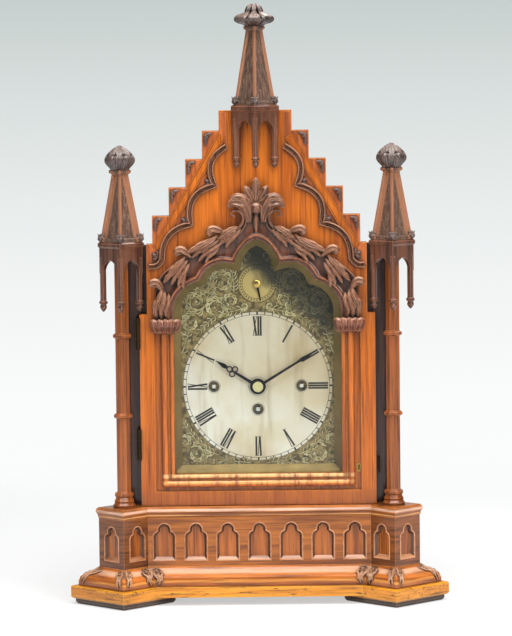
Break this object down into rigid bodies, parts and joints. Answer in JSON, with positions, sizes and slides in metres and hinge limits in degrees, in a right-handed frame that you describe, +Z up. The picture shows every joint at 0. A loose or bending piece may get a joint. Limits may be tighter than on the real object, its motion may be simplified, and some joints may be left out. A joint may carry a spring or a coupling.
{
  "type": "table clock",
  "caption": "Gothic Revival carved oak table clock with glazed front door, towers, arched dial and a three train fusee movement.",
  "frame": {"origin": "under the middle of the clock, on the surface that it stands on", "axes": "+Z up, +X to the right seen from the front, +Y to the back"},
  "size_m": [0.492, 0.29, 0.775],
  "materials": {
    "oak": "varnished oak",
    "golden_oak": "varnished oak",
    "dark_oak": "stained oak",
    "grey_oak": "stippled oak",
    "gilt": "dull gilt",
    "silvered": "silvered",
    "blued": "blued steel",
    "brass": "polished",
    "steel": "fine",
    "glass": "clear"
  },
  "bodies": {
    "case": {"feet": "dark_oak", "slab": "golden_oak", "corner_blocks": "golden_oak", "base_mouldings": "dark_oak", "frieze": "oak", "plinth_frame": "oak", "pedestals": "oak", "cornice": "dark_oak", "carcass_sides": "oak", "side_frets": "dark_oak", "front_frame": "dark_oak", "roof": "dark_oak", "seatboard": "oak", "column_left": "oak", "column_right": "oak", "canopy_left": "dark_oak", "canopy_right": "dark_oak", "turret_left": "grey_oak", "turret_right": "grey_oak", "case_hinges": "brass", "dial_surround": "gilt", "dial_plate": "silvered", "movement_frame": "brass", "bells": "brass", "bell_stand": "steel"},
    "front_door": {"door_board": "oak", "door_moulding": "dark_oak", "gable_moulding": "dark_oak", "hood_mould": "dark_oak", "corbels": "dark_oak", "centre_canopy": "dark_oak", "centre_spire": "grey_oak", "door_glass": "glass", "glazing_bead": "oak", "door_lock": "brass", "door_hinges": "brass"},
    "lock_bolt": {"lock_bolt": "steel"},
    "back_door": {"back_door": "dark_oak", "back_door_glass": "glass", "back_hinges": "brass"},
    "back_door_catch": {"back_door_catch": "brass"},
    "minute_hand": {"minute_hand": "blued", "centre_arbor": "brass"},
    "hour_hand": {"hour_hand": "blued", "hour_wheel": "brass"},
    "motion_wheel": {"motion_wheel": "brass"},
    "third_arbor": {"third_arbor": "brass"},
    "escape_arbor": {"escape_arbor": "brass"},
    "pendulum": {"pendulum": "brass"},
    "pallet_arbor": {"pallet_arbor": "steel"},
    "silent_hand": {"silent_hand": "blued"},
    "going_fusee": {"going_fusee": "brass"},
    "going_barrel": {"going_barrel": "brass"},
    "strike_fusee": {"strike_fusee": "brass"},
    "strike_barrel": {"strike_barrel": "brass"},
    "chime_fusee": {"chime_fusee": "brass"},
    "chime_barrel": {"chime_barrel": "brass"},
    "hour_hammer": {"hour_hammer": "steel"},
    "quarter_hammer_left": {"quarter_hammer_left": "steel"},
    "quarter_hammer_right": {"quarter_hammer_right": "steel"}
  },
  "joints": [
    {"name": "front_door_swing", "type": "hinge", "parent": "case", "child": "front_door", "pos_m": [-0.15455, -0.075, 0.246], "axis": [0, 0, -1], "range_deg": [0, 75]},
    {"name": "lock_bolt_slide", "type": "slide", "parent": "front_door", "child": "lock_bolt", "axis": [1, 0, 0], "range_m": [0, 0.007]},
    {"name": "back_door_swing", "type": "hinge", "parent": "case", "child": "back_door", "pos_m": [-0.16, 0.1305, 0.246], "axis": [0, 0, 1], "range_deg": [0, 110]},
    {"name": "back_door_catch_turn", "type": "hinge", "parent": "back_door", "child": "back_door_catch", "pos_m": [0.1423, 0.127, 0.256], "axis": [0, 1, 0], "range_deg": [0, 90]},
    {"name": "minute_hand_turn", "type": "hinge", "parent": "case", "child": "minute_hand", "pos_m": [0, -0.043, 0.2786], "axis": [0, 1, 0], "continuous": true},
    {"name": "hour_hand_turn", "type": "hinge", "parent": "case", "child": "hour_hand", "pos_m": [0, -0.043, 0.2786], "axis": [0, 1, 0], "continuous": true},
    {"name": "motion_wheel_turn", "type": "hinge", "parent": "case", "child": "motion_wheel", "pos_m": [0.013, -0.043, 0.30112], "axis": [0, 1, 0], "continuous": true},
    {"name": "third_arbor_turn", "type": "hinge", "parent": "case", "child": "third_arbor", "pos_m": [0, -0.023, 0.3059], "axis": [0, 1, 0], "continuous": true},
    {"name": "escape_arbor_turn", "type": "hinge", "parent": "case", "child": "escape_arbor", "pos_m": [0, -0.023, 0.3293], "axis": [0, 1, 0], "continuous": true},
    {"name": "going_fusee_turn", "type": "hinge", "parent": "case", "child": "going_fusee", "pos_m": [0, -0.023, 0.2484], "axis": [0, 1, 0], "continuous": true},
    {"name": "strike_fusee_turn", "type": "hinge", "parent": "case", "child": "strike_fusee", "pos_m": [-0.0572, -0.023, 0.2786], "axis": [0, 1, 0], "continuous": true},
    {"name": "chime_fusee_turn", "type": "hinge", "parent": "case", "child": "chime_fusee", "pos_m": [0.0572, -0.023, 0.2786], "axis": [0, 1, 0], "continuous": true},
    {"name": "going_barrel_turn", "type": "hinge", "parent": "case", "child": "going_barrel", "pos_m": [0, -0.023, 0.1954], "axis": [0, 1, 0], "continuous": true},
    {"name": "strike_barrel_turn", "type": "hinge", "parent": "case", "child": "strike_barrel", "pos_m": [-0.062, -0.023, 0.2206], "axis": [0, 1, 0], "continuous": true},
    {"name": "chime_barrel_turn", "type": "hinge", "parent": "case", "child": "chime_barrel", "pos_m": [0.062, -0.023, 0.2206], "axis": [0, 1, 0], "continuous": true},
    {"name": "pendulum_swing", "type": "hinge", "parent": "case", "child": "pendulum", "pos_m": [0, 0.057, 0.35334], "axis": [0, 1, 0], "range_deg": [-3, 3]},
    {"name": "pallet_rock", "type": "hinge", "parent": "case", "child": "pallet_arbor", "pos_m": [0, -0.023, 0.35334], "axis": [0, 1, 0], "range_deg": [-3, 3]},
    {"name": "silent_hand_turn", "type": "hinge", "parent": "case", "child": "silent_hand", "pos_m": [0, -0.043, 0.4126], "axis": [0, 1, 0], "range_deg": [0, 60]},
    {"name": "hour_hammer_lift", "type": "hinge", "parent": "case", "child": "hour_hammer", "pos_m": [-0.033, -0.023, 0.33534], "axis": [0, 1, 0], "range_deg": [-4, 0], "stiffness_Nm_per_rad": 0.06},
    {"name": "quarter_hammer_left_lift", "type": "hinge", "parent": "case", "child": "quarter_hammer_left", "pos_m": [-0.088, -0.023, 0.33534], "axis": [0, 1, 0], "range_deg": [-10, 0], "stiffness_Nm_per_rad": 0.06},
    {"name": "quarter_hammer_right_lift", "type": "hinge", "parent": "case", "child": "quarter_hammer_right", "pos_m": [0.088, -0.023, 0.33534], "axis": [0, 1, 0], "range_deg": [0, 10], "stiffness_Nm_per_rad": 0.06}
  ],
  "couplings": [
    {"joint": "minute_hand_turn", "follows": "third_arbor_turn", "ratio": -0.083333},
    {"joint": "hour_hand_turn", "follows": "third_arbor_turn", "ratio": -0.0069444},
    {"joint": "motion_wheel_turn", "follows": "third_arbor_turn", "ratio": 0.027778},
    {"joint": "escape_arbor_turn", "follows": "third_arbor_turn", "ratio": -11.143},
    {"joint": "going_fusee_turn", "follows": "third_arbor_turn", "ratio": 0.0069444},
    {"joint": "going_barrel_turn", "follows": "third_arbor_turn", "ratio": 0.0058333},
    {"joint": "strike_barrel_turn", "follows": "strike_fusee_turn", "ratio": 0.84},
    {"joint": "chime_barrel_turn", "follows": "chime_fusee_turn", "ratio": 0.84},
    {"joint": "pallet_rock", "follows": "pendulum_swing", "ratio": 1}
  ]
}
